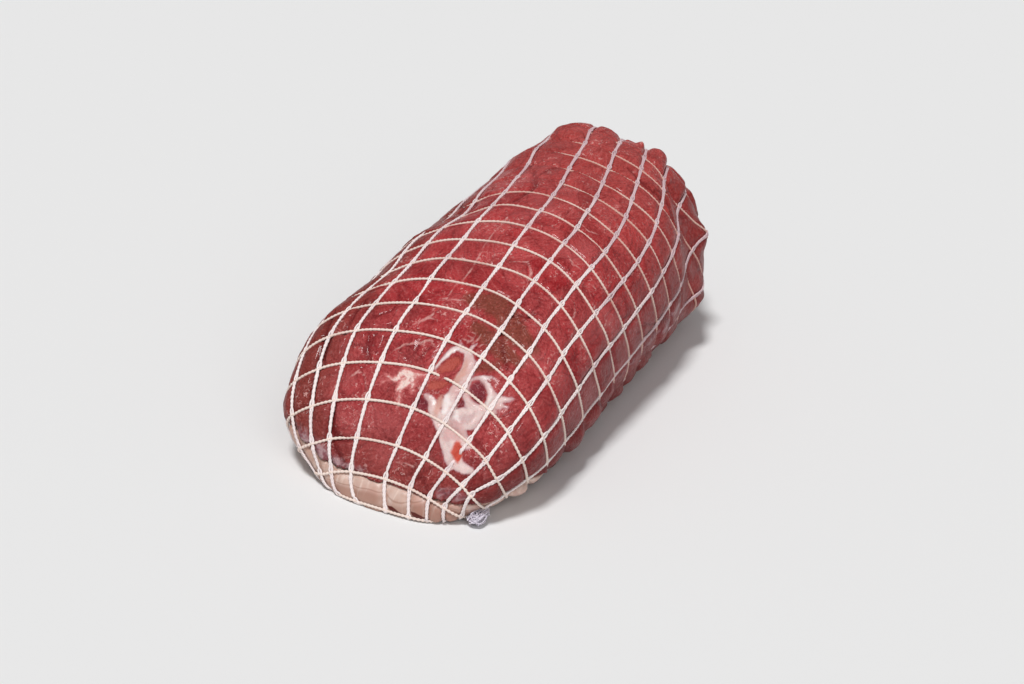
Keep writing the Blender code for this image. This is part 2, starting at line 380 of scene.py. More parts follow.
# Four-sided faces cut in two along their diagonals
def halved(quads):
    return np.concatenate([quads[:, [0, 1, 2]], quads[:, [0, 2, 3]]])


# Faces of a skin that closes round the joint, with a fan of triangles to the pole at each end
def skinFaces(rings, columns):
    row = np.arange(rings - 1)[:, None] * columns
    this = np.arange(columns)[None, :]
    following = (this + 1) % columns
    quads = np.stack([row + this, row + following, row + columns + following, row + columns + this], -1)
    near = rings * columns
    last = (rings - 1) * columns
    here, beside = this[0], following[0]
    fans = np.concatenate(
        [
            np.stack([beside, here, np.full(columns, near)], -1),
            np.stack([last + here, last + beside, np.full(columns, near + 1)], -1),
        ]
    )
    return np.concatenate([halved(quads.reshape(-1, 4)), fans])


# Places in the net for a skin: per mesh of the net a number of columns, and as many rows in each band
def skinGrid(columnsPerMesh, rowsPerBand):
    thread = np.concatenate([k + np.arange(count) / count for k, count in enumerate(columnsPerMesh)])
    bands = net["lastHoop"] + 1 - (net["firstHoop"] - 1)
    hoop = net["firstHoop"] - 1 + np.arange(1, bands * rowsPerBand) / rowsPerBand
    return np.meshgrid(thread, hoop)


# Closed skin from a function that gives points and values at places in the net
def closedSkin(name, shape, columnsPerMesh, rowsPerBand):
    thread, hoop = skinGrid(columnsPerMesh, rowsPerBand)
    rings, columns = thread.shape
    ends = np.array([net["firstHoop"] - 1.0, net["lastHoop"] + 1.0])
    thread = np.concatenate([thread.ravel(), [0.0, 0.0]])
    hoop = np.concatenate([hoop.ravel(), ends])
    points, values = shape(thread, hoop)
    return meshFrom(name, points, skinFaces(rings, columns), values)


# Width and height in mm of the mesh of the net at each place, from differences along both directions
def meshSize(thread, hoop):
    small = 1e-3
    inner = np.clip(hoop, net["firstHoop"] - 0.9, net["lastHoop"] + 0.9)
    across = skinFrame(thread + small, inner)[0] - skinFrame(thread - small, inner)[0]
    along = skinFrame(thread, inner + small)[0] - skinFrame(thread, inner - small)[0]
    return np.linalg.norm(across, axis=-1) / (2 * small), np.linalg.norm(along, axis=-1) / (2 * small)


# Share from 0 to 1 by which a place lies past the last hoop at either end, where no thread runs
def pastNet(hoop):
    return smooth(*net["pastHoops"], np.maximum(hoop - net["lastHoop"], net["firstHoop"] - hoop))


# How far meat swells out of a mesh of the net: 0 at a thread or hoop, 1 in the middle of a large mesh
def pillow(thread, hoop, threadReach, hoopReach):
    width, height = meshSize(thread, hoop)
    fromThread = np.abs(thread - np.round(thread)) * width
    fromHoop = np.abs(hoop - np.round(hoop)) * height
    swell = 1 - bell(fromThread, threadReach)
    swell = swell + (1 - swell) * pastNet(hoop)
    return swell * (1 - bell(fromHoop, hoopReach))


# Distance in mm inside the edge of a patch: chains of (thread, hoop, radius in mm) joined to one shape
def insidePatch(points, chains):
    best = np.full(points.shape[:-1], -1e3)
    for chain in chains:
        at = np.array(chain, float)
        centres, _ = skinFrame(at[:, 0], at[:, 1])
        for k in range(max(1, len(chain) - 1)):
            start, end = centres[k], centres[min(k + 1, len(chain) - 1)]
            span = end - start
            share = np.clip((points - start) @ span / max(span @ span, 1e-9), 0, 1)
            radius = at[k, 2] + (at[min(k + 1, len(chain) - 1), 2] - at[k, 2]) * share
            away = np.linalg.norm(points - (start + share[..., None] * span), axis=-1)
            best = np.maximum(best, radius - away)
    return best


lean = {
    "columns": (20,) * 9 + (16,) + (5,) * 7 + (10, 20),
    "rows": 14,
    "atThread": -0.65,  # mm under the loft where a thread presses
    "crown": 1.0,  # mm that the middle of a mesh swells out, and how far this differs between meshes
    "crownSpread": 0.5,
    "threadReach": 1.35,  # mm from a thread or a hoop over which the meat rises
    "hoopReach": 1.05,
    "grain": (6.0, 0.42),  # size and height in mm, and what is left of it under a thread
    "leastGrain": 0.4,
    "fineGrain": (1.9, 0.10),
    "folds": (8.0, 0.45, 0.07),  # spacing, depth and sharpness of the folds
    "streak": (0.55, 1.0, 1.0),  # the grain is drawn out along the joint
    "folded": (17.0, -0.1, 0.5),  # size of the patches with folds, and the noise between which they begin
    # the dark of creases and folds in the colour is painted shade
    "creaseShade": (-0.9, 0.4),  # distance inside a crease's edge where its dark begins and is full
    "farCrown": 1.5,  # how much more the crowns differ at the far end
    # Relief of the marks: distances inside the edge where it begins and is full, height, and if the net flattens it
    "relief": (
        ("crease", -1.3, 0.5, -0.9, False),
        ("fat", -0.5, 1.5, 0.45, True),
        ("hollow", -1.0, 1.8, -1.2, False),
        ("rust", -0.8, 2.0, -0.8, False),
        ("ember", -0.4, 1.0, -0.4, False),
        ("vein", -0.3, 0.6, 0.3, True),
    ),
    # Where looks begin and are full: threads off the left middle, heights in mm, hoops, threads on the right; the
    # left middle, the low sides and the right side take painted shade
    "side": (2.6, 0.8),
    "pastMiddle": 14,  # thread number from which the left middle is nearer the other way round
    "low": (30, 8),
    "lowShare": 0.6,
    "frontRows": (5.5, 1.0),
    "far": (7, 16),
    "right": (6.2, 9.0),
    "rightEnd": (14, 12),
    # patches of painted shade: distance inside the edge where it begins and is full, and its strength
    "shadowPatchRise": (-2.5, 2.5, 0.55),
    # Marks on the meat: chains of thread number, hoop number and radius in mm
    "fat": [
        [(4.62, 3.92, 1.5), (4.78, 3.69, 2.3), (4.84, 3.4, 2.6), (4.82, 3.05, 2.4), (4.8, 2.75, 2.0)],
        [(4.08, 3.14, 0.7), (4.17, 3.54, 1.0), (4.3, 3.92, 1.3), (4.62, 3.92, 1.5)],
        [(4.8, 2.75, 1.8), (4.78, 2.5, 2.8), (4.95, 2.4, 3.2)],
        [(4.16, 2.42, 1.0), (4.36, 2.36, 1.6), (4.44, 2.22, 1.7), (4.66, 2.1, 2.4)],
        [(4.95, 2.3, 3.4), (5.35, 2.3, 4.6), (5.62, 2.45, 4.2), (5.75, 2.8, 2.6)],
        [(4.66, 2.1, 2.0), (5.12, 1.88, 2.9), (5.58, 1.66, 3.3), (5.88, 1.42, 2.6), (6.1, 1.22, 1.4)],
        [(5.45, 2.1, 3.2), (5.75, 1.98, 2.8), (6.1, 1.95, 1.6)],
        [(6.05, 1.5, 2.2), (6.3, 1.4, 2.3), (6.6, 1.42, 2.0), (6.85, 1.52, 1.3)],
        [(5.03, 3.31, 0.8), (5.29, 3.5, 0.9), (5.54, 3.7, 0.6)],
        [
            (5.29, 3.5, 0.8), (5.6, 3.45, 1.2), (5.8, 3.36, 1.6), (6.08, 3.42, 1.7),
            (6.28, 3.58, 0.9), (6.45, 3.75, 0.3),
        ],
        [(5.8, 3.36, 1.6), (5.92, 3.12, 1.6), (5.8, 2.9, 2.2)],
        [(5.06, 3.34, 0.8), (5.1, 3.05, 1.0), (5.16, 2.9, 1.3), (5.4, 2.78, 1.7), (5.7, 2.78, 2.0)],
        [(5.92, 3.12, 1.6), (6.17, 3.28, 1.7), (6.3, 3.36, 0.9), (6.44, 3.44, 0.3)],
        [(5.95, 3.05, 1.3), (6.15, 3.08, 1.1), (6.32, 3.1, 0.3)],
        [(4.28, 4.16, 0.2), (4.36, 4.02, 0.6), (4.45, 3.95, 1.0)],
        [(4.7, 4.3, 0.2), (4.64, 4.12, 0.7), (4.6, 3.95, 1.3)],
    ],
    "pearl": [
        [(4.66, 2.66, 0.5), (4.8, 2.46, 1.4), (4.84, 2.28, 0.8)],
        [(5.18, 2.44, 0.5), (5.3, 2.34, 1.0), (5.44, 2.3, 0.5)],
        [(4.1, 3.2, 0.2), (4.18, 3.5, 0.5), (4.34, 3.86, 0.4)],
        [(5.3, 3.58, 0.1), (5.62, 3.52, 0.3), (5.84, 3.3, 0.4), (5.86, 3.0, 0.2)],
        [(4.3, 2.44, 0.3), (4.46, 2.36, 0.6)],
    ],
    # patches of painted shade, darker, on the front and the left
    "shadowPatch": [
        [(1.9, 1.3, 1.5), (2.35, 0.8, 2.5), (2.8, 0.55, 1.5)], [(1.8, 5.1, 4.0)],
        [(3.0, 0.35, 1.5), (3.4, 0.3, 2.5)], [(3.1, 6.8, 3.5), (3.6, 6.6, 3.5)],
        [(4.6, 12.6, 3.0), (5.0, 10.6, 3.0)],
    ],
    "peach": [
        [(4.72, 3.66, 0.8), (4.78, 3.4, 1.3), (4.72, 3.08, 1.2)],
        [(4.56, 2.52, 0.8), (4.6, 2.3, 1.1), (4.63, 2.12, 1.0)],
    ],
    "ember": [[(5.8, 1.8, 1.2), (5.9, 1.64, 1.9), (6.04, 1.56, 1.6), (6.2, 1.46, 0.7)]],
    "rust": [
        [(4.26, 3.2, 1.6), (4.38, 3.38, 2.8), (4.48, 3.56, 1.8)],
        [(4.2, 2.72, 1.8), (4.4, 2.8, 1.8), (4.52, 2.92, 1.0)],
    ],
    "hollow": [
        [(5.36, 3.22, 2.6), (5.5, 3.14, 2.6)], [(5.17, 2.66, 1.3), (5.14, 2.58, 1.1)],
        [(4.1, 2.22, 2.0), (4.2, 2.17, 2.2)],
    ],
    "vein": [
        [(3.45, 2.63, 1.4), (3.49, 2.88, 1.5), (3.62, 2.8, 2.2), (3.68, 2.58, 2.0), (3.56, 2.42, 1.6)],
        [(3.56, 2.42, 1.5), (3.6, 2.18, 1.0), (3.66, 2.02, 0.9)], [(3.5, 2.7, 1.3), (3.58, 2.56, 1.5)],
        [(3.74, 2.66, 1.6), (3.82, 2.44, 1.2)], [(3.45, 2.6, 1.2), (3.3, 2.58, 0.8), (3.18, 2.7, 0.4)],
        [(3.3, 2.58, 0.6), (3.15, 2.46, 0.3)], [(3.62, 2.8, 1.6), (3.8, 2.85, 1.4), (3.96, 2.88, 0.9)],
    ],
    "membrane": [
        [(3.14, 3.43, 0.1), (3.27, 3.6, 0.4), (3.51, 3.7, 0.4), (3.71, 3.89, 0.5), (3.84, 3.7, 0.3)],
        [(3.26, 4.21, 0.1), (3.41, 4.42, 0.5), (3.5, 4.63, 0.5), (3.44, 4.92, 0.2)],
        [(3.3, 4.45, 0.1), (3.5, 4.5, 0.3), (3.7, 4.48, 0.1)],
        [(4.18, 0.58, 0.2), (4.5, 0.62, 0.3), (4.81, 0.65, 0.2)],
        [(3.55, 9.2, 0.4), (3.5, 8.0, 0.3), (3.6, 6.5, 0.3), (3.55, 5.4, 0.2)],
        [(4.2, 7.3, 0.1), (4.6, 7.55, 0.4), (4.85, 7.2, 0.5), (4.9, 6.9, 0.2)], [(3.1, 3.3, 0.1), (3.2, 3.5, 0.2)],
        [(3.5, 2.5, 0.1), (3.58, 2.7, 0.35), (3.62, 2.9, 0.1)],
        [(3.66, 2.44, 0.1), (3.74, 2.6, 0.3), (3.78, 2.74, 0.1)],
        [(3.36, 2.76, 0.1), (3.52, 2.94, 0.3), (3.68, 2.94, 0.1)],
        [(4.24, 4.3, 0.1), (4.34, 4.2, 0.3), (4.46, 4.22, 0.1)],
        [(4.32, 4.44, 0.1), (4.42, 4.34, 0.3), (4.5, 4.36, 0.1)],
        [(4.47, 4.12, 0.1), (4.54, 4.3, 0.3), (4.54, 4.5, 0.1)],
        [(4.6, 4.2, 0.1), (4.66, 4.4, 0.35), (4.64, 4.6, 0.1)],
        [(4.76, 4.16, 0.1), (4.8, 4.3, 0.3), (4.88, 4.42, 0.1)],
        [(4.74, 4.02, 0.1), (4.86, 4.1, 0.3), (4.97, 4.12, 0.1)],
        [(4.36, 4.56, 0.1), (4.46, 4.5, 0.25), (4.58, 4.52, 0.1)],
        [(2.3, 2.6, 0.1), (2.5, 2.75, 0.4), (2.75, 2.6, 0.3), (2.85, 2.3, 0.1)],
        [(3.3, 5.4, 0.1), (3.6, 5.25, 0.4), (3.9, 5.35, 0.2)],
        [(5.3, 8.6, 0.1), (5.6, 8.45, 0.4), (5.85, 8.55, 0.2)],
        [(4.9, 10.4, 0.1), (5.3, 10.2, 0.4), (5.6, 10.4, 0.2)], [(6.3, 7.5, 0.1), (6.5, 7.3, 0.3), (6.6, 7.0, 0.1)],
    ],
    "brown": [
        [(3.95, 5.5, 2.6), (4.5, 5.6, 5.0), (4.9, 5.5, 5.0), (5.4, 5.2, 5.5), (6.0, 5.2, 3.0)],
        [(4.5, 4.7, 3.0), (5.4, 4.5, 4.0), (5.9, 4.6, 2.5)], [(4.9, 3.6, 1.5), (5.4, 4.0, 2.0)],
    ],
    "crease": [
        [(2.4, 3.85, 0.3), (2.5, 3.5, 0.5), (2.62, 3.25, 0.6), (2.69, 3.03, 0.4)],
        [(2.06, 1.9, 0.4), (2.06, 1.4, 0.9), (2.24, 1.1, 1.0), (2.6, 0.95, 0.8), (2.92, 1.0, 0.4)],
        [(3.55, 3.12, 0.1), (3.3, 3.35, 0.25), (3.16, 3.62, 0.1)],
        [(3.55, 3.16, 0.1), (3.4, 3.45, 0.25), (3.32, 3.78, 0.1)],
        [(3.58, 3.18, 0.1), (3.54, 3.5, 0.25), (3.52, 3.82, 0.1)],
        [(3.62, 3.16, 0.1), (3.7, 3.42, 0.25), (3.76, 3.66, 0.1)],
        [(1.12, 3.9, 0.3), (1.08, 3.4, 0.5), (1.16, 3.08, 0.3)],
        [(0.5, 5.2, 0.3), (0.8, 4.1, 0.5), (0.9, 3.0, 0.5), (0.95, 2.2, 0.3)],
        [(1.55, 5.2, 0.3), (1.62, 4.4, 0.4), (1.6, 3.9, 0.3)],
        [(2.15, 0.9, 0.4), (2.45, 0.45, 0.6), (2.75, 0.15, 0.4)],
        [(5.05, 4.95, 0.2), (5.35, 4.55, 0.4), (5.75, 4.2, 0.3)],
        [(5.0, 5.6, 0.2), (5.4, 5.9, 0.35), (5.6, 6.2, 0.2)],
        [(3.3, 12.4, 0.3), (3.6, 11.3, 0.5), (3.4, 10.2, 0.3)],
        [(5.6, 14.6, 0.3), (6.3, 14.2, 0.5), (7.2, 14.4, 0.3)],
    ],
    "film": [
        [(0.02, 1.5, 2.5), (0.7, 1.12, 2.2), (1.15, 0.88, 2.4), (1.6, 0.6, 2.6), (2.1, 0.34, 1.8), (2.6, 0.16, 1.0)],
        [(-1.0, 1.7, 3.0), (0.02, 1.5, 2.5)], [(2.8, 0.12, 1.4), (3.3, 0.05, 0.8)],
        [(6.4, 0.35, 1.2), (7.0, 0.62, 1.4), (7.6, 0.8, 1.0)],
        [(9.2, 8.0, -0.8), (9.25, 9.2, 0.0), (9.35, 11.0, 0.4), (9.4, 12.6, 0.8)],
    ],
    # lighter pinkish-red patches; those on the front top are a painted broad highlight
    "bloomAndHighlight": [
        [(2.2, 1.7, 3.0), (2.7, 1.45, 3.5)], [(3.2, 1.6, 4.5), (3.75, 1.45, 4.0)], [(2.3, 2.5, 3.0)],
        [(3.7, 0.65, 2.5), (4.1, 0.65, 2.5)], [(7.0, 7.0, 5.0), (7.3, 8.2, 5.0)],
        [(5.4, 8.7, 4.0), (5.6, 9.5, 4.0)], [(3.0, 11.2, 5.0), (3.3, 12.0, 5.0)],
        [(6.3, 5.0, 5.0), (7.2, 5.5, 5.0)], [(3.25, 2.6, 2.5), (3.6, 2.75, 4.0), (3.95, 2.85, 3.0)],
        [(3.7, 10.76, 3.0), (4.24, 9.92, 3.5), (3.68, 9.44, 2.5)],
    ],
}


colourMarks = ("fat", "peach", "ember", "rust", "hollow", "vein", "brown", "film", "bloomAndHighlight", "pearl", "membrane")
crowns = np.random.default_rng(7).uniform(-1, 1, (net["lastHoop"] - net["firstHoop"] + 3, threadCount))


# Random number of the mesh of the net that a place lies in, fading out past the last hoops
def crownOf(thread, hoop):
    row = np.clip(np.floor(hoop).astype(int) - net["firstHoop"] + 1, 0, crowns.shape[0] - 1)
    return crowns[row, np.floor(thread).astype(int) % threadCount] * (1 - pastNet(hoop))


# Meat: pressed in under threads and hoops, swelling between them, with lumps, grain and the marks' relief
def leanShape(thread, hoop):
    free, normal = skinFrame(thread, hoop)
    swell = pillow(thread, hoop, lean["threadReach"], lean["hoopReach"])
    patch = {mark: insidePatch(free, lean[mark]) for mark in colourMarks + ("shadowPatch", "crease")}
    far = farShare(hoop)
    crown = lean["crown"] + crownOf(thread, hoop) * lean["crownSpread"] * (1 + lean["farCrown"] * far)
    lift = lean["atThread"] + lumps["farPress"] * far * (1 - swell) + swelling(free, hoop) + swell * crown
    streaked = free * np.array(lean["streak"])
    lift += fractal(streaked, lean["grain"][0], 21) * lean["grain"][1] * (lean["leastGrain"] + swell)
    lift += fractal(free, lean["fineGrain"][0], 31, 2) * lean["fineGrain"][1]
    size, depth, sharp = lean["folds"]
    patchSize, begins, full = lean["folded"]
    fold = bell(fractal(streaked, size, 43, 2), sharp) * smooth(begins, full, noise(free, patchSize, 47))
    lift -= depth * fold * swell
    # the folds and creases also darken the colour: painted shade
    fold = fold * swell + smooth(*lean["creaseShade"], patch["crease"])
    lift += skirtLift(thread, hoop)
    for mark, begins, full, height, flattened in lean["relief"]:
        lift += height * smooth(begins, full, patch[mark]) * (swell if flattened else 1)
    level = seamHeight(free) + seam["gap"] / 2
    points = free + normal * (lift - seam["pull"] * bell(free[..., 2] - level, seam["pullReach"]))[..., None]
    points = tuck(points, level - points[..., 2])
    points[..., 2] = np.maximum(points[..., 2], seamHeight(points) + seam["gap"] / 2)
    leftMiddle = np.where(thread > lean["pastMiddle"], threadCount, 0)
    side = smooth(*lean["side"], np.abs(thread - leftMiddle))
    low = smooth(*lean["low"], points[..., 2])
    right = smooth(*lean["right"], thread) * smooth(*lean["rightEnd"], thread)
    begins, full, strength = lean["shadowPatchRise"]
    values = {
        # painted shade in the folds and creases
        "fold": np.clip(fold, 0, 1),
        # painted shade: the left flank and the low sides darker and browner
        "flankShade": np.clip(side + lean["lowShare"] * low, 0, 1),
        # front rows: a darker front tone, and where the painted glints cluster
        "frontRows": smooth(*lean["frontRows"], hoop),
        # painted shade: the right side, and the patches of painted shade
        "shade": np.maximum(right, strength * smooth(begins, full, patch["shadowPatch"])),
        "far": smooth(*lean["far"], hoop),
    }
    values.update(patch)
    return points, values


fat = {
    "columns": (11,) * threadCount,
    "rows": 11,
    "atThread": -0.8,
    "crown": 0.8,
    "threadReach": 1.6,
    "hoopReach": 1.3,
    "floorAtThread": 1.25,  # height of the underside over the slab, at the threads and in the meshes
    "floorInMesh": 0.15,
    "lump": (9.0, 0.35),
    "leastLump": 0.3,
    "crownSpread": 0.4,
    "front": (-60, -95),  # mm along the joint, and across it, between which the looks change
    "left": (0, 26),
    "slit": [
        [(4.05, -0.74, 0.2), (4.22, -0.76, 1.1), (4.45, -0.80, 0.6), (4.60, -0.84, 0.2)],
        [(5.10, -0.66, 0.4), (5.30, -0.68, 1.1), (5.60, -0.72, 1.2), (5.88, -0.76, 0.4)],
    ],
}


# Fat cap: the same skin below the seam, swelling through the meshes of the net down to the slab
def fatShape(thread, hoop):
    free, normal = skinFrame(thread, hoop)
    swell = pillow(thread, hoop, fat["threadReach"], fat["hoopReach"])
    crown = fat["crown"] + fat["crownSpread"] * crownOf(thread, hoop)
    lift = fat["atThread"] + swelling(free, hoop) + swell * crown
    lift += fractal(free, fat["lump"][0], 51) * fat["lump"][1] * (fat["leastLump"] + swell)
    lift += skirtLift(thread, hoop)
    level = seamHeight(free) - seam["gap"] / 2
    points = free + normal * (lift - seam["pull"] * bell(free[..., 2] - level, seam["pullReach"]))[..., None]
    floor = fat["floorAtThread"] + (fat["floorInMesh"] - fat["floorAtThread"]) * swell
    points[..., 2] = settle(points[..., 2], floor)
    points = tuck(points, points[..., 2] - level)
    points[..., 2] = np.minimum(points[..., 2], seamHeight(points) - seam["gap"] / 2)
    values = {
        "front": smooth(*fat["front"], free[..., 0]),
        "height": points[..., 2],
        "left": smooth(*fat["left"], free[..., 1]),
        "slit": insidePatch(free, fat["slit"]),
    }
    return points, values


# Tube along each path: rings of points square to the path, closed at both ends or joined in a loop
def tubes(paths, normals, radius, sides, closed):
    runs, steps, _ = paths.shape
    following = np.roll(paths, -1, 1) - np.roll(paths, 1, 1)
    if not closed:
        following[:, 0] = paths[:, 1] - paths[:, 0]
        following[:, -1] = paths[:, -1] - paths[:, -2]
    tangent = unit(following)
    side = unit(np.cross(tangent, normals))
    upward = np.cross(side, tangent)
    turn = 2 * math.pi * np.arange(sides) / sides
    ring = np.cos(turn)[:, None] * side[:, :, None, :] + np.sin(turn)[:, None] * upward[:, :, None, :]
    points = paths[:, :, None, :] + ring * np.asarray(radius)[..., None, None]
    run = np.arange(runs)[:, None, None] * steps * sides
    step = np.arange(steps if closed else steps - 1)[None, :, None]
    ahead = (step + 1) % steps
    k = np.arange(sides)[None, None, :]
    beside = (k + 1) % sides
    here, there = run + step * sides, run + ahead * sides
    quads = np.stack([here + k, here + beside, there + beside, there + k], -1)
    return points.reshape(-1, 3), quads.reshape(-1, 4)


yarn = {
    "strands": 3,  # plaited flat: each strand swings across the thread once while it dips twice
    "strandRadius": 0.34,  # mm
    "swing": 0.52,
    "dip": 0.18,
    "plaits": 2.6,  # whole plaits in one mesh of the net
    "narrow": 0.45,  # share by which a thread is drawn in halfway between hoops
    "splay": 0.70,  # mm that the strands part where a hoop passes through
    "splayAt": 0.09,  # place of the parting and its reach, in shares of a mesh
    "splayReach": 0.13,
    "height": -0.12,
    # Straying of a crossing: share of a mesh, scales along thread and hoop numbers, layer, two sizes, share of
    # the finer one and a seed
    "wander": (0.045, (1.0, 0.9), 2.5, (1.7, 0.8), 0.6, 71),
    "uneven": 0.22,  # share by which a strand's thickness varies, and over how many mm
    "unevenSize": 2.6,
    "offset": 2.1,  # radians by which each thread's plait is ahead of the one beside it
    "under": 0.3,  # mm that the middle strand dives at a hoop
    "sunk": ((6.1, 1.53, 2.0, 1.8), (3.5, 11.5, 6, 0.4)),
    "stepsPerMesh": 22,
    "sides": 5,
}

hoopCord = {
    "radius": 0.50,
    "farRadius": -0.08,
    "height": -0.20,
    "farHeight": -0.30,  # change of height towards the far end, where they cut in deeper
    "bump": 0.13,
    "bumpPitch": 1.5,
    # Where hoops sink out of sight: thread, hoop, reach in mm and depth in mm
    "sunk": (
        (1.8, 13.0, 22, 1.1),
        (3.4, 15.2, 9, 0.9),
        (2.64, 0.96, 2.2, 1.1),
        (4.32, 3.0, 1.6, 0.9),
        (3.6, 12.0, 8, 0.8),
    ),
    "wander": (0.035, (0.9, 1.0), 8.5, (1.9, 0.9), 0.6, 81),
    "farHoops": (3, 14),
    "stepsPerMesh": 24,
    "sides": 6,
}


# Path in the net pressed onto the swollen meat, sunk by a flat-topped bell at some places, kept over the slab
def netPath(thread, hoop, height, sunk):
    free, normal = skinFrame(thread, hoop)
    height = height + swelling(free, hoop) + lumps["farPress"] * lumps["farSunk"] * farShare(hoop)
    for atThread, atHoop, reach, depth in sunk:
        middle, _ = skinFrame(np.array(atThread), np.array(atHoop))
        height = height - depth * np.exp(-((((free - middle) ** 2).sum(-1)) / reach**2) ** 2)
    points = free + normal * height[..., None]
    points[..., 2] = settle(points[..., 2], net["floor"])
    return points, normal


# How far a crossing strays from its place, in meshes: a broad noise and a finer one over the net
def stray(thread, hoop, wander):
    amount, (alongThreads, alongHoops), layer, (broad, finer), finerShare, seed = wander
    place = np.stack([thread * alongThreads, hoop * alongHoops, np.full_like(hoop, layer)], -1)
    return amount * (noise(place, broad, seed) + finerShare * noise(place, finer, seed + 2))


# Tubes with their open ends closed: a fan of triangles to the middle of each end ring
def capped(points, quads, runs, steps, sides):
    grid = points.reshape(runs, steps, sides, 3)
    middles = np.concatenate([grid[:, 0].mean(1), grid[:, -1].mean(1)])
    first = len(points)
    k = np.arange(sides)
    beside = (k + 1) % sides
    run = np.arange(runs)[:, None] * steps * sides
    nearTip = np.broadcast_to(first + np.arange(runs)[:, None], (runs, sides))
    last = run + (steps - 1) * sides
    start = np.stack([run + beside, run + k, nearTip], -1).reshape(-1, 3)
    end = np.stack([last + k, last + beside, nearTip + runs], -1).reshape(-1, 3)
    return np.concatenate([points, middles]), np.concatenate([halved(quads), start, end])


# How far the juice has stained the netting, from 0 to 1: more towards the far end
def stainOf(points):
    least, byFar, byPatches, size = net["stain"]
    far = smooth(*net["stainAlong"], points[:, 0])
    return np.clip(least + byFar * far + byPatches * fractal(points, size, 91), 0, 1)


# Piece of the netting, kept just off the slab
def netMesh(name, points, triangles):
    points[:, 2] = np.maximum(points[:, 2], net["clear"])
    return meshFrom(name, points, triangles, {"stain": stainOf(points)})


# Threads: flat plaits of strands that part round every hoop and are drawn in between the hoops
def makeThreads(name, numbers):
    bands = net["lastHoop"] - net["firstHoop"]
    hoop = np.linspace(net["firstHoop"], net["lastHoop"], bands * yarn["stepsPerMesh"] + 1)
    thread, hoop = np.meshgrid(np.asarray(numbers, float), hoop, indexing="ij")
    strayed = thread + stray(thread, hoop, yarn["wander"])
    centre, normal = netPath(strayed, hoop, yarn["height"], yarn["sunk"])
    side = unit(np.cross(np.gradient(centre, axis=1), normal))
    part = hoop - np.floor(hoop)
    away = np.minimum(np.abs(part - yarn["splayAt"]), np.abs(part - 1 - yarn["splayAt"]))
    apart = bell(away, yarn["splayReach"])
    swing = yarn["swing"] * (1 - yarn["narrow"] * (0.5 - 0.5 * np.cos(2 * math.pi * part)))
    paths = []
    for strand in range(yarn["strands"]):
        turn = 2 * math.pi * (yarn["plaits"] * hoop + strand / yarn["strands"]) + thread * yarn["offset"]
        across = np.cos(turn) * swing * (1 - apart) + yarn["splay"] * apart * (strand - 1)
        up = np.sin(2 * turn) * yarn["dip"] * (1 - apart) - yarn["under"] * apart * (strand == 1)
        paths.append(centre + side * across[..., None] + normal * up[..., None])
    paths = np.concatenate(paths)
    runs, steps, _ = paths.shape
    normals = np.concatenate([normal] * yarn["strands"])
    radius = yarn["strandRadius"] * (1 + yarn["uneven"] * fractal(paths, yarn["unevenSize"], 97, 2))
    points, quads = tubes(paths, normals, radius, yarn["sides"], False)
    points, triangles = capped(points, quads, runs, steps, yarn["sides"])
    return netMesh(name, points, triangles)


# Hoops: an elastic core wrapped in yarn, a tube with a small bump for every wrap
def makeHoops(name):
    numbers = np.arange(net["firstHoop"], net["lastHoop"] + 1, dtype=float)
    steps = threadCount * hoopCord["stepsPerMesh"]
    thread = np.arange(steps) / hoopCord["stepsPerMesh"]
    hoop, thread = np.meshgrid(numbers, thread, indexing="ij")
    strayed = hoop + stray(thread, hoop, hoopCord["wander"])
    far = smooth(*hoopCord["farHoops"], hoop)
    depth = hoopCord["height"] + hoopCord["farHeight"] * far
    centre, normal = netPath(thread, strayed, depth, hoopCord["sunk"])
    length = np.cumsum(np.linalg.norm(np.diff(centre, axis=1, prepend=centre[:, :1]), axis=-1), axis=1)
    radius = hoopCord["radius"] + hoopCord["farRadius"] * far
    radius = radius + hoopCord["bump"] * np.sin(2 * math.pi * length / hoopCord["bumpPitch"])
    points, quads = tubes(centre, normal, radius, hoopCord["sides"], True)
    return netMesh(name, points, halved(quads))


tail = {
    "centre": (2.4, -45.4, 3.2),
    "reach": (5.3125, 3.71875, 3.1875),  # mm from the middle that a loop nears but never passes
    "smallest": 0.35,  # a loop's size as a share of the reach
    "ripple": (0.22, 0.22, 0.25),  # waves along x, y and z, squash of z and spread of the loops, as shares too
    "squash": 0.8,
    "spread": 0.25,
    "loops": 24,
    "steps": 64,
    "radius": 0.19,
    "sides": 5,
    "upward": (0.3, 0.2, 0.93),  # which way a loop's first side looks
}


# Spare end of the netting: loops of thread crumpled within the tuft, each a closed ring with two or three
# waves on it, squeezed by tanh so that it stays inside
def makeTail(name):
    rng = np.random.default_rng(5)
    turn = np.linspace(0, 2 * math.pi, tail["steps"], endpoint=False)[None, :]
    loops = tail["loops"]
    phase, wave, tilt = (rng.uniform(0, 2 * math.pi, (loops, 1)) for _ in range(3))
    reach = rng.uniform(tail["smallest"], 1.0, (loops, 1))
    rippleX, rippleY, rippleZ = tail["ripple"]
    x = reach * np.cos(turn + phase) + rippleX * np.cos(3 * turn + wave)
    y = reach * np.sin(turn + phase) * np.cos(tilt) + rippleY * np.sin(2 * turn + wave)
    z = reach * np.sin(turn + phase) * np.sin(tilt) * tail["squash"] + rippleZ * np.sin(3 * turn + tilt)
    spot = rng.uniform(-tail["spread"], tail["spread"], (loops, 1, 3))
    middle = np.array(tail["centre"]) - np.array([form["middleX"], form["middleY"], 0.0])
    paths = np.tanh(np.stack([x, y, z], -1) + spot) * np.array(tail["reach"]) + middle
    upward = np.broadcast_to(np.array(tail["upward"]), paths.shape)
    radius = np.full(paths.shape[:2], tail["radius"])
    points, quads = tubes(paths, upward, radius, tail["sides"], True)
    return netMesh(name, points, halved(quads))


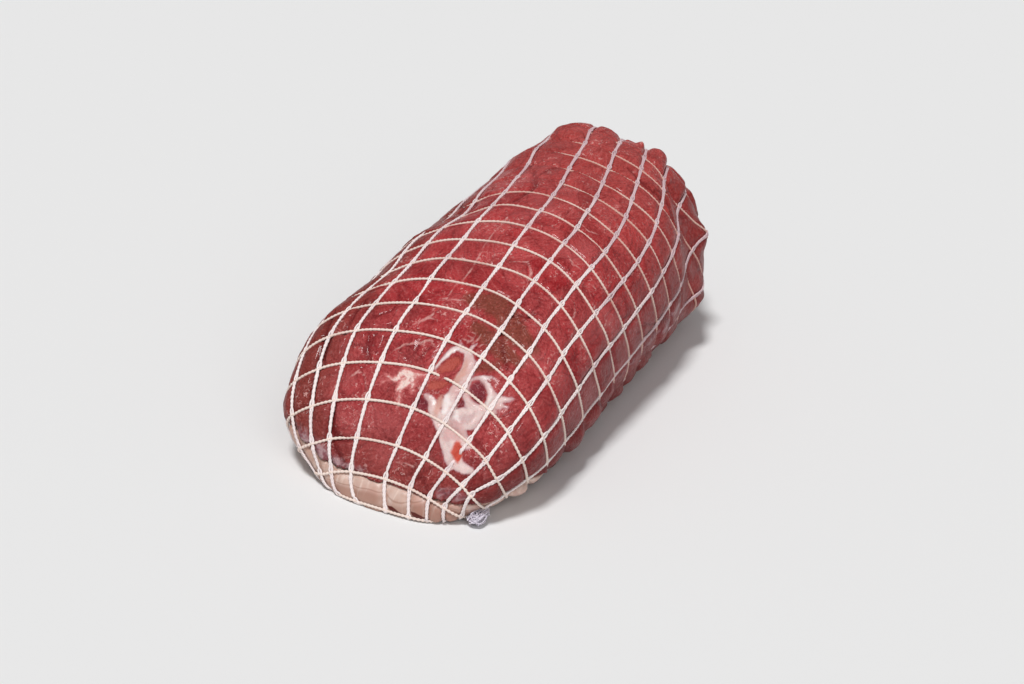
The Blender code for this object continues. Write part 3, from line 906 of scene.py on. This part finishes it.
meat = closedSkin("beef_lean", leanShape, lean["columns"], lean["rows"])
cap = closedSkin("beef_fat_cap", fatShape, fat["columns"], fat["rows"])
threadsOver = makeThreads("net_threads_over", range(shownCount))
threadsUnder = makeThreads("net_threads_under", range(shownCount, threadCount))
hoops = makeHoops("net_hoops")
tuft = makeTail("net_tuft")


# sRGB hex to linear: straight near black, a power of 2.4 above it
def colour(code):
    channels = [int(code[k : k + 2], 16) / 255 for k in (1, 3, 5)]
    return tuple([c / 12.92 if c <= 0.04045 else ((c + 0.055) / 1.055) ** 2.4 for c in channels] + [1.0])


# Values and links put into a node's inputs, which are named or counted from the first
def feed(tree, node, inputs):
    for key, value in inputs.items() if isinstance(inputs, dict) else enumerate(inputs):
        if isinstance(value, bpy.types.NodeSocket):
            tree.links.new(value, node.inputs[key])
        else:
            node.inputs[key].default_value = value


# One node with its settings, fed with values and links; gives the output asked for
def add(tree, kind, inputs=(), output=0, **settings):
    made = tree.nodes.new("ShaderNode" + kind)
    for key, value in settings.items():
        setattr(made, key, value)
    feed(tree, made, inputs)
    return made.outputs[output]


# New material, its node tree and its shader
def newMaterial(name):
    made = bpy.data.materials.new(name)
    made.use_nodes = True
    return made, made.node_tree, made.node_tree.nodes["Principled BSDF"]


# Colours laid over a first one in turn: each covers by its strength times its source, or times the share by
# which the source has risen smoothly from one value to another; a colour is a name in the look, or mixed before
def layered(tree, look, tone, layers):
    for laid, strength, source, *ends in layers:
        share = add(tree, "MapRange", (source, *ends), interpolation_type="SMOOTHSTEP") if ends else source
        if strength < 1:
            share = add(tree, "Math", (share, strength), operation="MULTIPLY")
        under, over = (colour(look[part]) if isinstance(part, str) else part for part in (tone, laid))
        tone = add(tree, "Mix", {0: share, 6: under, 7: over}, 2, data_type="RGBA")
    return tone


leanLook = {
    "deep": "#991e23",
    "red": "#b8363a",
    "pink": "#c96a68",
    "dark": "#5e0f14",
    # pale specks and threads; the specks are partly fat flecks and partly painted glints
    "speck": "#e6b4ae",
    "front": "#8c3a3c",
    # tones of painted shade: on the left flank and low sides, and on the right side and in patches
    "flankShade": "#76342b",
    "shade": "#500a0c",
    "far": "#b24d46",
    "fat": "#e2c8c4",
    "pearl": "#f6eeeb",
    "fatGrey": "#cfb0ae",
    "fatPink": "#cc9a98",
    "fatLilac": "#b07f86",
    "peach": "#d4a296",
    "ember": "#c95545",
    "rustPale": "#b5544a",
    # lighter red of the patches, on the front top a painted broad highlight
    "bloomAndHighlight": "#bb5c5c",
    "rust": "#8a2d26",
    "hollow": "#83323a",
    "hollowFat": "#9c5f62",
    "vein": "#ca7270",
    "veinCore": "#f2d3cb",
    "brown": "#78402f",
    "film": "#8f5d66",
    "filmTan": "#bda3a7",
    "bundle": 13.0,  # mm, as are the sizes below
    "bend": (0.008, 0.008, 0.008),  # metres that the bundles' edges wander
    "turn": 2.2,  # radians through which the fibres of a bundle may turn, and tilt
    "tilt": 1.0,
    "mottle": 11.0,
    "grain": 0.9,  # real fibres are about 0.1 mm thick, so grain and fibre are drawn coarser to show
    "speckSize": 1.3,
    "fibre": 1.1,
    "fibreStretch": 0.14,  # the smaller, the further it is drawn out along the bundle
    "wrinkle": 2.8,
    "wrinkleStretch": 0.3,
    "wetness": 0.12,  # coat
}


# Raw beef, a wet cut face of muscle: bundles of fibres that run each its own way, in crimsons with a fine
# grain, fine pale threads of membrane, small pale specks that are partly painted glints, and a broken moist gloss;
# painted shade on the flanks, low down, in creases and in patches, and a painted broad highlight on the front top
def rawBeef():
    look = leanLook
    made, tree, shader = newMaterial("raw_beef_wet_muscle")
    place = add(tree, "TexCoord", (), "Object")
    names = colourMarks + ("far", "frontRows", "flankShade", "shade", "fold")
    given = {name: add(tree, "Attribute", (), "Fac", attribute_name=name) for name in names}

    # bundles: cells with wavy edges, each with three random numbers, two of which turn and tilt its fibres
    scale = 1000 / look["bundle"]
    wavy = add(tree, "TexNoise", {"Vector": place, "Scale": scale, "Detail": 2.0}, "Color")
    bent = add(tree, "VectorMath", (wavy, look["bend"], place), operation="MULTIPLY_ADD")
    bundle = add(tree, "TexVoronoi", {"Vector": bent, "Scale": scale}, "Color")
    chance = add(tree, "SeparateColor", (bundle,)).node.outputs
    edge = add(tree, "TexVoronoi", {"Vector": bent, "Scale": scale}, "Distance", feature="DISTANCE_TO_EDGE")
    turned = place
    for number, axis, swing in (("Red", "Z_AXIS", look["turn"]), ("Green", "Y_AXIS", look["tilt"])):
        angle = add(tree, "Math", (chance[number], swing, -swing / 2), operation="MULTIPLY_ADD")
        turned = add(tree, "VectorRotate", {"Vector": turned, "Angle": angle}, rotation_type=axis)
    fine = add(tree, "Mapping", {"Vector": turned, "Scale": (look["fibreStretch"], 1.0, 1.0)})
    broad = add(tree, "Mapping", {"Vector": turned, "Scale": (look["wrinkleStretch"], 1.0, 1.0)})

    # patterns: the size's name, detail, the coordinates they lie on and how far they are bent
    patterns = (
        ("mottle", 3.0, place, 0.0),
        ("grain", 3.0, place, 0.0),
        ("speckSize", 2.0, place, 0.8),
        ("fibre", 3.0, fine, 0.0),
        ("wrinkle", 3.0, broad, 0.6),
    )
    mottle, grain, speck, fibre, wrinkle = (
        add(tree, "TexNoise", {"Vector": vector, "Scale": 1000 / look[size], "Detail": detail, "Distortion": bend})
        for size, detail, vector, bend in patterns
    )
    ragged = add(tree, "Math", (grain, speck), operation="ADD")  # about 1 on average
    ragged = add(tree, "Math", (ragged, 0.5, -1.7), operation="MULTIPLY_ADD")
    waved = add(tree, "Math", (wrinkle, 2.4, ragged), operation="MULTIPLY_ADD")  # about 0 on average

    # distance inside a mark's edge, frayed by the patterns
    def frayed(mark, rough):
        return add(tree, "Math", (waved, rough, given[mark]), operation="MULTIPLY_ADD")

    # thin lines where a pattern passes one value, and the shares that rise smoothly between two values
    crossings = []
    for source, middle in ((wrinkle, 0.56), (speck, 0.5)):
        off = add(tree, "Math", (source, middle), operation="SUBTRACT")
        crossings.append(add(tree, "Math", (off,), operation="ABSOLUTE"))
    rises = (
        (mottle, 0.46, 0.60),
        (speck, 0.61, 0.70),
        (crossings[0], 0.018, 0.0),
        (mottle, 0.50, 0.62),
        (crossings[1], 0.022, 0.0),
        (wrinkle, 0.46, 0.56),
        (frayed("fat", 0.9), -0.45, 0.45),
    )
    patchy, dotted, threaded, clustered, vessel, damp, fatShare = (
        add(tree, "MapRange", ends, interpolation_type="SMOOTHSTEP") for ends in rises
    )

    # small pale specks in clusters, partly fat flecks and partly painted glints that gather at the front rows, fine
    # pale threads, and vessels in the fat; the first two fade where the painted shade lies
    lit = add(tree, "Math", (given["shade"], -0.8, 1.0), operation="MULTIPLY_ADD")
    frontRows = add(tree, "Math", (given["frontRows"], 0.25), operation="MULTIPLY")
    cluster = add(tree, "Math", (patchy, frontRows), operation="MAXIMUM")
    products = ((dotted, cluster, lit), (threaded, clustered, lit), (vessel, damp, 1.0))
    flecksAndGlints, membrane, capillary = (
        add(tree, "Math", (add(tree, "Math", (first, second), operation="MULTIPLY"), third), operation="MULTIPLY")
        for first, second, third in products
    )

    filmTone = layered(tree, look, "film", [("filmTan", 1, wrinkle, 0.42, 0.62)])
    veinTone = layered(tree, look, "vein", [("veinCore", 1, frayed("vein", 1.6), 0.3, 1.5)])
    rustTone = layered(tree, look, "rust", [("rustPale", 1, frayed("rust", 1.2), -0.6, 0.9)])
    marbled = layered(tree, look, "hollow", [("hollowFat", 1, speck, 0.52, 0.62)])
    fatLayers = [
        ("fatGrey", 1, frayed("fat", 1.2), 1.8, 3.8),
        ("fatPink", 0.6, mottle, 0.48, 0.62),
        ("fatLilac", 1, given["fat"], 1.0, -0.4),
        ("rustPale", 0.4, capillary),
        ("pearl", 0.8, frayed("pearl", 1.1), -0.9, 0.9),
    ]
    meatLayers = [
        ("red", 1, mottle, 0.34, 0.62),
        ("far", 0.6, given["far"]),
        ("front", 0.5, given["frontRows"]),
        ("pink", 0.28, chance["Blue"]),
        ("dark", 0.22, add(tree, "Math", (1.0, chance["Green"]), operation="SUBTRACT")),
        # painted shade on the left flank and low down, darker and browner
        ("flankShade", 0.5, given["flankShade"]),
        ("pink", 0.42, fibre, 0.52, 0.74),
        ("dark", 0.40, fibre, 0.48, 0.28),
        ("brown", 0.78, frayed("brown", 1.8), -1.6, 1.6),
        ("pink", 0.30, grain, 0.50, 0.70),
        ("dark", 0.25, grain, 0.48, 0.32),
        # the same painted shade again, over the grain
        ("flankShade", 0.5, given["flankShade"]),
        # painted shade on the right side and in patches
        ("shade", 0.50, given["shade"]),
        # lighter patches, on the front top a painted broad highlight
        ("bloomAndHighlight", 0.40, frayed("bloomAndHighlight", 2.0), -2.5, 2.5),
        # painted shade in the folds and creases
        ("dark", 0.65, given["fold"]),
        ("dark", 0.22, edge, 0.05, 0.0),
        # pale specks: fat flecks and painted glints
        ("speck", 0.6, flecksAndGlints),
        ("speck", 0.4, membrane),
        (filmTone, 0.70, frayed("film", 1.6), -2.0, 2.0),
        ("speck", 0.6, frayed("membrane", 0.35), -0.35, 0.35),
        (veinTone, 1, frayed("vein", 1.2), -0.6, 0.6),
        (layered(tree, look, "fat", fatLayers), 1, fatShare),
        ("peach", 0.95, frayed("peach", 0.9), -1.0, 1.0),
        (rustTone, 1, frayed("rust", 0.8), -0.8, 0.8),
        ("ember", 1, frayed("ember", 0.6), -0.6, 0.6),
        (marbled, 1, frayed("hollow", 0.7), -0.7, 0.7),
    ]

    height = grain
    for source, amount in ((speck, 0.8), (fibre, 1.1), (wrinkle, 2.1)):
        height = add(tree, "Math", (source, amount, height), operation="MULTIPLY_ADD")
    relief = add(tree, "Math", (fatShare, -0.55, 0.9), operation="MULTIPLY_ADD")
    relief = add(tree, "Math", (given["shade"], -0.35, relief), operation="MULTIPLY_ADD")
    rough = add(tree, "MapRange", (speck, 0.3, 0.7, 0.52, 0.32))
    inputs = {
        "Base Color": layered(tree, look, "deep", meatLayers),
        "Normal": add(tree, "Bump", {"Height": height, "Strength": relief, "Distance": 0.5 * mm}),
        "Roughness": add(tree, "Math", (fatShare, -0.15, rough), operation="MULTIPLY_ADD"),
        "IOR": 1.38,
        "Specular IOR Level": 0.17,
        "Subsurface Weight": 0.12,
        "Subsurface Radius": (1.0, 0.35, 0.25),
        "Subsurface Scale": 1.5 * mm,
        "Coat Weight": look["wetness"],
        "Coat Roughness": 0.12,
    }
    feed(tree, shader, inputs)
    return made


fatLook = {
    "cream": "#cfb1a4",
    "tan": "#c09c8d",
    "light": "#e2cdc2",
    "blush": "#c08a7c",
    "rose": "#8f5348",
    "meat": "#6c2a26",
    "slit": "#5a1c14",
    "line": "#8f5f4d",
    "mottle": 9.0,  # mm, as are the next two
    "streak": 2.4,
    "wave": 24.0,
}


# Raw beef fat, a trimmed outer layer: waxy cream with tan and rosy streaks, softly lit from inside
def rawFat():
    look = fatLook
    made, tree, shader = newMaterial("raw_beef_fat_waxy")
    place = add(tree, "TexCoord", (), "Object")
    upright = add(tree, "Mapping", {"Vector": place, "Scale": (0.5, 1.0, 0.25)})
    patterns = (("mottle", 4.0, place, 0.0), ("streak", 3.0, upright, 0.5), ("wave", 1.0, place, 0.0))
    mottle, streak, wave = (
        add(tree, "TexNoise", {"Vector": vector, "Scale": 1000 / look[size], "Detail": detail, "Distortion": bend})
        for size, detail, vector, bend in patterns
    )
    front, height, left, slit = (
        add(tree, "Attribute", (), "Fac", attribute_name=name) for name in ("front", "height", "left", "slit")
    )

    # one layer of fat lies over another: a brown edge at a height that wanders, and a darker layer below it
    bend = add(tree, "Math", (wave, -12.0, 1.2), operation="MULTIPLY_ADD")
    above = add(tree, "Math", (height, bend), operation="ADD")
    off = add(tree, "Math", (above,), operation="ABSOLUTE")
    plain = layered(tree, look, "meat", [("rose", 1, mottle, 0.46, 0.58), ("tan", 1, mottle, 0.60, 0.70)])
    frontLayers = [
        ("tan", 1, mottle, 0.50, 0.72),
        ("tan", 1, left),
        ("blush", 0.5, wave, 0.50, 0.64),
        ("light", 0.6, streak, 0.48, 0.66),
    ]
    layers = [
        (layered(tree, look, "cream", frontLayers), 1, front),
        ("line", 0.55, above, 0.2, -1.6),
        ("line", 0.5, off, 0.4, 0.0),
        ("slit", 1, slit, -0.25, 0.2),
    ]
    inputs = {
        "Base Color": layered(tree, look, plain, layers),
        "Normal": add(tree, "Bump", {"Height": streak, "Strength": 0.4, "Distance": 0.3 * mm}),
        "Roughness": 0.42,
        "IOR": 1.45,
        "Subsurface Weight": 0.2,
        "Subsurface Radius": (1.0, 0.6, 0.45),
        "Subsurface Scale": 2.0 * mm,
        "Coat Weight": 0.1,
        "Coat Roughness": 0.25,
    }
    feed(tree, shader, inputs)
    return made


netLook = {
    "white": "#f5e9e7",
    "cream": "#efdcd1",
    "damp": "#ddd6e2",
    "stain": "#c6a0a8",
    "hoopStain": "#c98f80",
    "fibre": 0.35,  # mm; the real fibres are finer than 0.05 mm and are drawn coarser to show
}


# Cotton or polyester yarn soaked in meat juice: chalky white, pinker where it has drunk more, fuzzy fine fibres
def yarnMaterial(name, base, stainTone, stained):
    made, tree, shader = newMaterial(name)
    place = add(tree, "TexCoord", (), "Object")
    fibre = add(tree, "TexNoise", {"Vector": place, "Scale": 1000 / netLook["fibre"], "Detail": 2.0})
    stain = add(tree, "Attribute", (), "Fac", attribute_name="stain")
    inputs = {
        "Base Color": layered(tree, netLook, base, [(stainTone, stained, stain, 0.05, 0.85)]),
        "Normal": add(tree, "Bump", {"Height": fibre, "Strength": 0.35, "Distance": 0.1 * mm}),
        "Roughness": 0.75,
        "Sheen Weight": 0.15,
    }
    feed(tree, shader, inputs)
    return made


meat.data.materials.append(rawBeef())
cap.data.materials.append(rawFat())
threadYarn = yarnMaterial("netting_yarn_plaited_white", "white", "stain", 0.8)
hoopYarn = yarnMaterial("netting_elastic_wrapped", "cream", "hoopStain", 0.8)
for piece in (threadsOver, threadsUnder):
    piece.data.materials.append(threadYarn)
hoops.data.materials.append(hoopYarn)
tuft.data.materials.append(yarnMaterial("netting_end_damp", "damp", "stain", 0.4))
print("materials made")

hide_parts("beef")
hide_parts("fat_cap")
for piece in (threadsOver, threadsUnder, hoops):
    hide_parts("netting")
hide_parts("net_tail")
for piece in (meat, cap, threadsOver, threadsUnder, hoops, tuft):
    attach(piece, "root")
print("pieces in their nodes' places")

studio = {
    "floorSize": 6.0,
    "floor": "#e8e8e8",
    "world": "#ffffff",
    "worldStrength": 0.20,
    # Soft lamps: the direction they stand in, strength, and how wide they look in degrees
    "lamps": [((-0.5, 0.05, 1.5), 2.22, 12.0), ((-1.0, -0.9, 1.0), 0.7, 45.0)],
}

# Camera where the photograph was taken from; distances in mm, the image 1024 by 684
cameraPlan = {
    "place": (-773.9, -352.2, 429.9),
    "target": (-38.1, -11.9, 35.0),
    "rollDeg": 4.19,
    "lens": 85.69,
    "sensor": 36.0,
}

floorMesh = bpy.data.meshes.new("floor")
half = studio["floorSize"] / 2
floorMesh.from_pydata([(-half, -half, 0), (half, -half, 0), (half, half, 0), (-half, half, 0)], [], [(0, 1, 2, 3)])
floor = bpy.data.objects.new("floor", floorMesh)
bpy.context.scene.collection.objects.link(floor)
floorPaint, floorTree, floorShader = newMaterial("studio_floor_matte")
feed(floorTree, floorShader, {"Base Color": colour(studio["floor"]), "Roughness": 0.9})
floorMesh.materials.append(floorPaint)

world = bpy.data.worlds.new("studio")
world.use_nodes = True
glow = {"Color": colour(studio["world"]), "Strength": studio["worldStrength"]}
feed(world.node_tree, world.node_tree.nodes["Background"], glow)
bpy.context.scene.world = world
for number, (place, strength, width) in enumerate(studio["lamps"]):
    lamp = bpy.data.lights.new("soft_lamp_%d" % number, "SUN")
    lamp.energy = strength
    lamp.angle = math.radians(width)
    holder = bpy.data.objects.new(lamp.name, lamp)
    holder.matrix_world = Matrix.Translation(place) @ (-Vector(place)).to_track_quat("-Z", "Y").to_matrix().to_4x4()
    bpy.context.scene.collection.objects.link(holder)

camera = bpy.data.cameras.new("camera")
camera.lens = cameraPlan["lens"]
camera.sensor_width = cameraPlan["sensor"]
camera.clip_end = 100.0
place = Vector(cameraPlan["place"]) * mm
facing = (Vector(cameraPlan["target"]) * mm - place).to_track_quat("-Z", "Y")
roll = Quaternion((0, 0, 1), math.radians(cameraPlan["rollDeg"]))
cameraObject = bpy.data.objects.new("camera", camera)
cameraObject.matrix_world = Matrix.Translation(place) @ (facing @ roll).to_matrix().to_4x4()
bpy.context.scene.collection.objects.link(cameraObject)
bpy.context.scene.camera = cameraObject
bpy.context.scene.view_settings.view_transform = "Standard"
print("floor, lamps and camera set")
